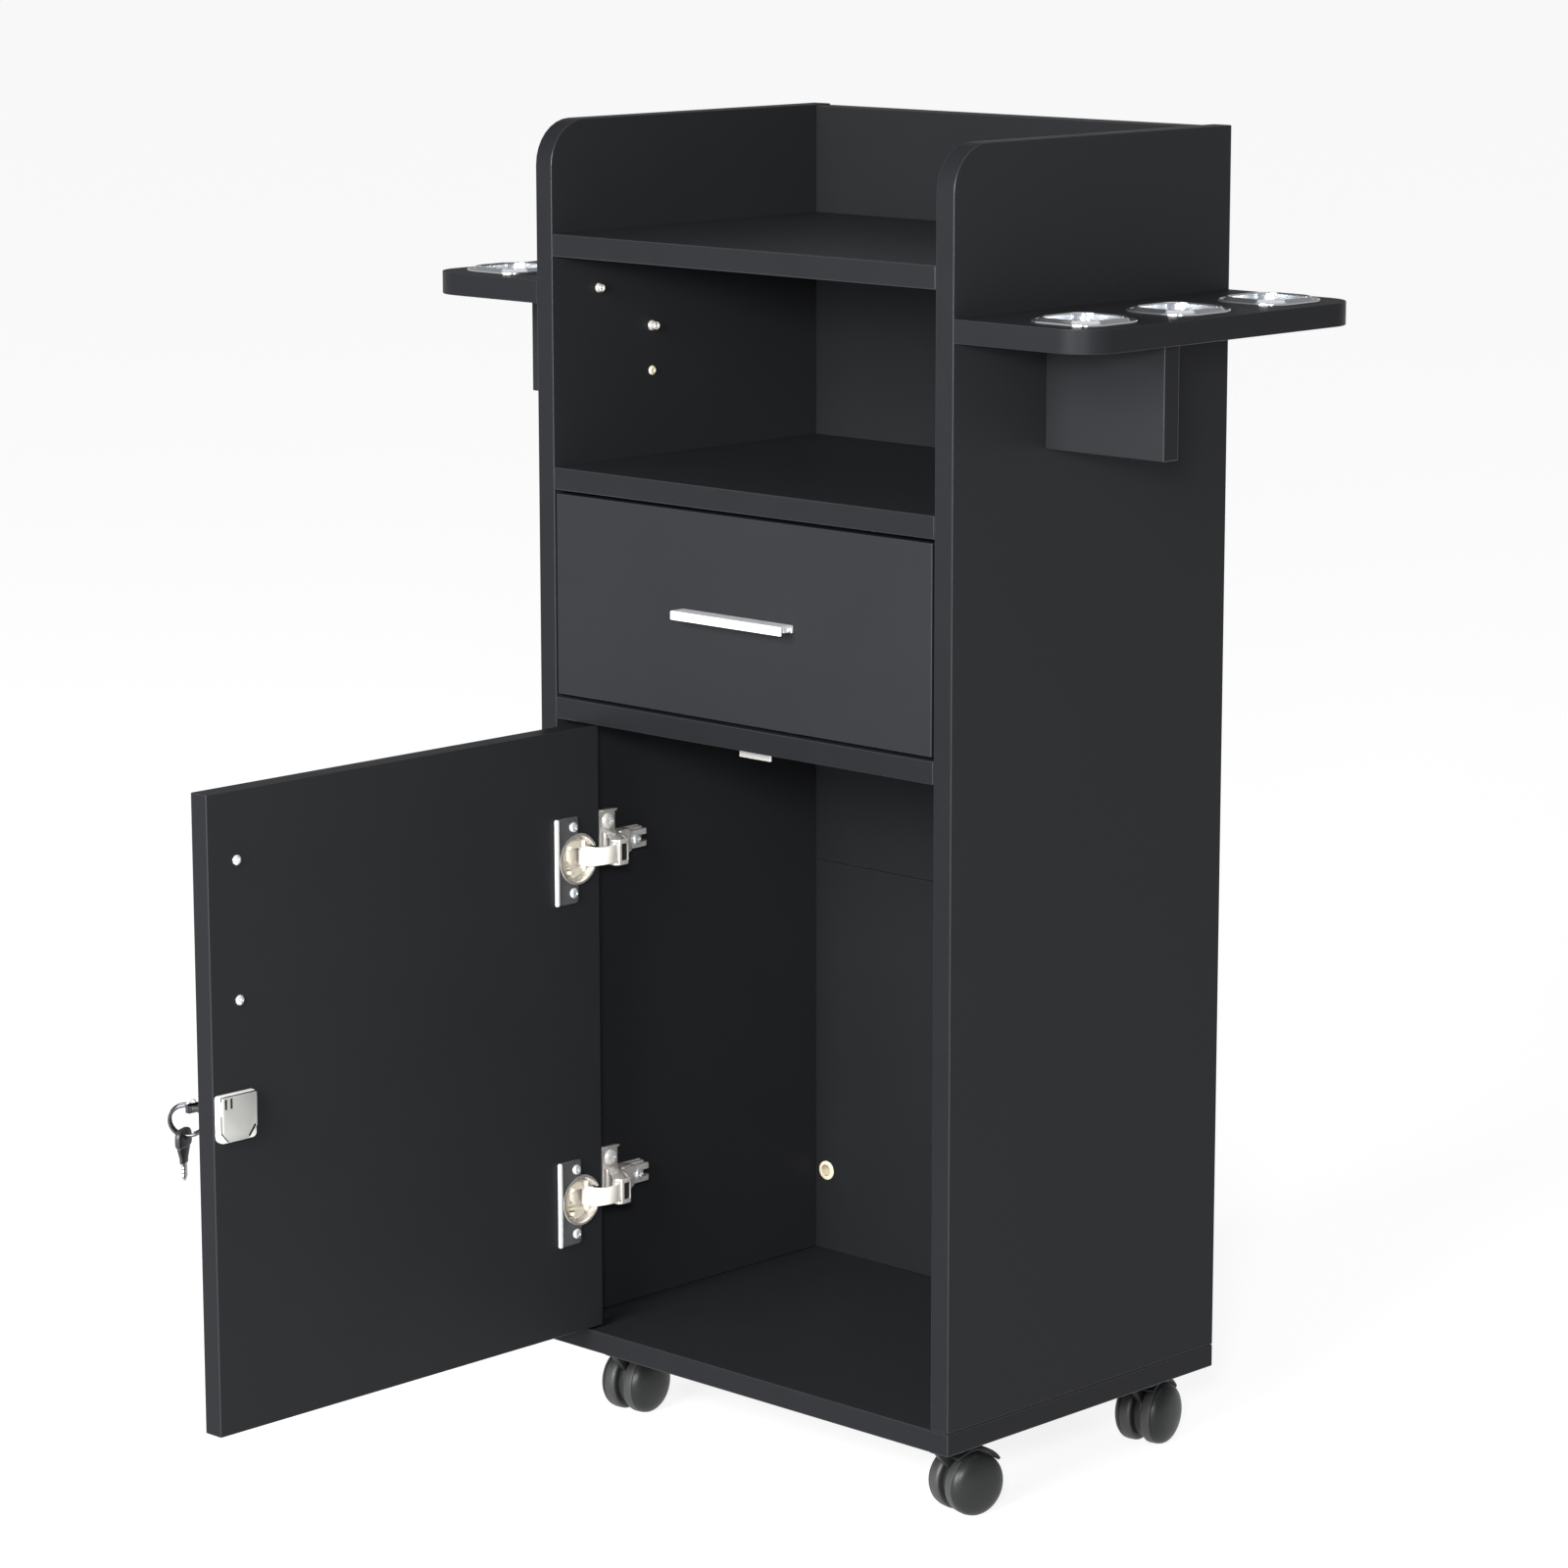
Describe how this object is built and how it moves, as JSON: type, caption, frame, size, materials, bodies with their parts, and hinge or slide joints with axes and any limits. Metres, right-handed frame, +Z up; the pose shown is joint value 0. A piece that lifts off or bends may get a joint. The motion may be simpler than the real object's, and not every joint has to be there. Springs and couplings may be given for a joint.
{
  "type": "spa trolley cart",
  "caption": "Tall black board trolley on twin-wheel casters, with a top tray, open compartment, drawer, lockable hinged door and side shelves with chromed holder rings.",
  "frame": {"origin": "on the floor, under the middle of the whole object's box, open door included", "axes": "+Z up; the front faces -Y; +X is the user's right when facing the cart's front, where the lock's mortise is; the door is hinged on the -X side and stands open at a right angle"},
  "size_m": [0.628, 0.6378, 0.95],
  "materials": {
    "black_board": "black melamine on particle board, fine matt grain",
    "drawer_board": "black foil on drawer board, matt",
    "chrome": "polished chrome plating",
    "handle_alloy": "satin anodised",
    "hinge_steel": "nickel-plated steel",
    "hinge_zinc": "nickel-plated zinc die casting",
    "caster_steel": "dark zinc plating",
    "caster_plastic": "glossy black moulded nylon",
    "key_plastic": "black moulded key head with a nickel blade"
  },
  "bodies": {
    "cabinet": {"bottom_board": "black_board", "left_side_panel": "black_board", "right_side_panel": "black_board", "lower_back_panel": "black_board", "upper_back_panel": "black_board", "top_deck": "black_board", "middle_shelf": "black_board", "divider_board": "black_board", "left_cabinet_runner": "hinge_steel", "right_cabinet_runner": "hinge_steel", "upper_hinge_plate": "hinge_steel", "lower_hinge_plate": "hinge_steel", "upper_hinge_arm": "hinge_steel", "lower_hinge_arm": "hinge_steel", "door_stop": "hinge_steel", "left_holder_shelf": "black_board", "right_holder_shelf": "black_board", "left_shelf_bracket": "black_board", "right_shelf_bracket": "black_board", "left_front_holder_ring": "chrome", "left_middle_holder_ring": "chrome", "left_rear_holder_ring": "chrome", "right_front_holder_ring": "chrome", "right_middle_holder_ring": "chrome", "right_rear_holder_ring": "chrome", "front_left_caster_plate": "caster_steel", "front_right_caster_plate": "caster_steel", "rear_left_caster_plate": "caster_steel", "rear_right_caster_plate": "caster_steel"},
    "drawer": {"drawer_front": "black_board", "drawer_left_side": "drawer_board", "drawer_right_side": "drawer_board", "drawer_back": "drawer_board", "drawer_bottom": "drawer_board", "drawer_handle": "handle_alloy", "left_drawer_runner": "hinge_steel", "right_drawer_runner": "hinge_steel"},
    "upper_link": {"upper_hinge_link": "hinge_zinc"},
    "lower_link": {"lower_hinge_link": "hinge_zinc"},
    "door": {"door_panel": "black_board", "door_handle": "handle_alloy", "upper_hinge_cup": "hinge_zinc", "lower_hinge_cup": "hinge_zinc", "lock_case": "hinge_zinc"},
    "bolt": {"lock_bolt": "hinge_steel"},
    "key": {"lock_plug": "hinge_steel", "door_key": "key_plastic"},
    "key_ring": {"spare_key": "key_plastic"},
    "front_left_caster": {"front_left_caster_body": "caster_plastic"},
    "front_left_left_wheel": {"front_left_left_wheel": "caster_plastic"},
    "front_left_right_wheel": {"front_left_right_wheel": "caster_plastic"},
    "front_right_caster": {"front_right_caster_body": "caster_plastic"},
    "front_right_left_wheel": {"front_right_left_wheel": "caster_plastic"},
    "front_right_right_wheel": {"front_right_right_wheel": "caster_plastic"},
    "rear_left_caster": {"rear_left_caster_body": "caster_plastic"},
    "rear_left_left_wheel": {"rear_left_left_wheel": "caster_plastic"},
    "rear_left_right_wheel": {"rear_left_right_wheel": "caster_plastic"},
    "rear_right_caster": {"rear_right_caster_body": "caster_plastic"},
    "rear_right_left_wheel": {"rear_right_left_wheel": "caster_plastic"},
    "rear_right_right_wheel": {"rear_right_right_wheel": "caster_plastic"}
  },
  "joints": [
    {"name": "drawer_slide", "type": "slide", "parent": "cabinet", "child": "drawer", "axis": [0, -1, 0], "range_m": [0, 0.18]},
    {"name": "upper_link_pivot", "type": "hinge", "parent": "cabinet", "child": "upper_link", "pos_m": [-0.1482, 0.0573, 0.4285], "axis": [0, 0, 1], "range_deg": [-38, 6]},
    {"name": "door_hinge", "type": "hinge", "parent": "upper_link", "child": "door", "pos_m": [-0.156, 0.0316, 0.4285], "axis": [0, 0, 1], "range_deg": [-15, 127.36]},
    {"name": "lower_link_pivot", "type": "hinge", "parent": "cabinet", "child": "lower_link", "pos_m": [-0.1482, 0.0573, 0.1765], "axis": [0, 0, 1], "range_deg": [-38, 6]},
    {"name": "key_turn", "type": "hinge", "parent": "door", "child": "key", "pos_m": [-0.166, -0.3019, 0.301], "axis": [1, 0, 0], "range_deg": [0, 90]},
    {"name": "bolt_throw", "type": "slide", "parent": "door", "child": "bolt", "axis": [0, -1, 0], "range_m": [0, 0.0077]},
    {"name": "key_ring_swing", "type": "hinge", "parent": "key", "child": "key_ring", "pos_m": [-0.194, -0.3019, 0.301], "axis": [1, 0, 0], "range_deg": [-90, 0]},
    {"name": "front_left_swivel", "type": "hinge", "parent": "cabinet", "child": "front_left_caster", "pos_m": [-0.161, 0.0716, 0.055], "axis": [0, 0, 1], "continuous": true},
    {"name": "front_left_left_wheel_spin", "type": "hinge", "parent": "front_left_caster", "child": "front_left_left_wheel", "pos_m": [-0.17545, 0.08674, 0.0225], "axis": [0.9903, 0.1392, 0], "continuous": true},
    {"name": "front_left_right_wheel_spin", "type": "hinge", "parent": "front_left_caster", "child": "front_left_right_wheel", "pos_m": [-0.15129, 0.09013, 0.0225], "axis": [0.9903, 0.1392, 0], "continuous": true},
    {"name": "front_right_swivel", "type": "hinge", "parent": "cabinet", "child": "front_right_caster", "pos_m": [0.161, 0.0716, 0.055], "axis": [0, 0, 1], "continuous": true},
    {"name": "front_right_left_wheel_spin", "type": "hinge", "parent": "front_right_caster", "child": "front_right_left_wheel", "pos_m": [0.15227, 0.09062, 0.0225], "axis": [0.9816, -0.1908, 0], "continuous": true},
    {"name": "front_right_right_wheel_spin", "type": "hinge", "parent": "front_right_caster", "child": "front_right_right_wheel", "pos_m": [0.17622, 0.08596, 0.0225], "axis": [0.9816, -0.1908, 0], "continuous": true},
    {"name": "rear_left_swivel", "type": "hinge", "parent": "cabinet", "child": "rear_left_caster", "pos_m": [-0.161, 0.2776, 0.055], "axis": [0, 0, 1], "continuous": true},
    {"name": "rear_left_left_wheel_spin", "type": "hinge", "parent": "rear_left_caster", "child": "rear_left_left_wheel", "pos_m": [-0.17136, 0.29578, 0.0225], "axis": [0.9945, -0.1045, 0], "continuous": true},
    {"name": "rear_left_right_wheel_spin", "type": "hinge", "parent": "rear_left_caster", "child": "rear_left_right_wheel", "pos_m": [-0.14709, 0.29323, 0.0225], "axis": [0.9945, -0.1045, 0], "continuous": true},
    {"name": "rear_right_swivel", "type": "hinge", "parent": "cabinet", "child": "rear_right_caster", "pos_m": [0.161, 0.2776, 0.055], "axis": [0, 0, 1], "continuous": true},
    {"name": "rear_right_left_wheel_spin", "type": "hinge", "parent": "rear_right_caster", "child": "rear_right_left_wheel", "pos_m": [0.14553, 0.29169, 0.0225], "axis": [0.9781, 0.2079, 0], "continuous": true},
    {"name": "rear_right_right_wheel_spin", "type": "hinge", "parent": "rear_right_caster", "child": "rear_right_right_wheel", "pos_m": [0.1694, 0.29677, 0.0225], "axis": [0.9781, 0.2079, 0], "continuous": true}
  ],
  "couplings": [
    {"joint": "upper_link_pivot", "follows": "door_hinge", "ratio": -0.29334},
    {"joint": "lower_link_pivot", "follows": "door_hinge", "ratio": -0.29334},
    {"joint": "bolt_throw", "follows": "key_turn", "m_per_rad": 0.004864},
    {"joint": "key_ring_swing", "follows": "key_turn", "ratio": -1}
  ]
}
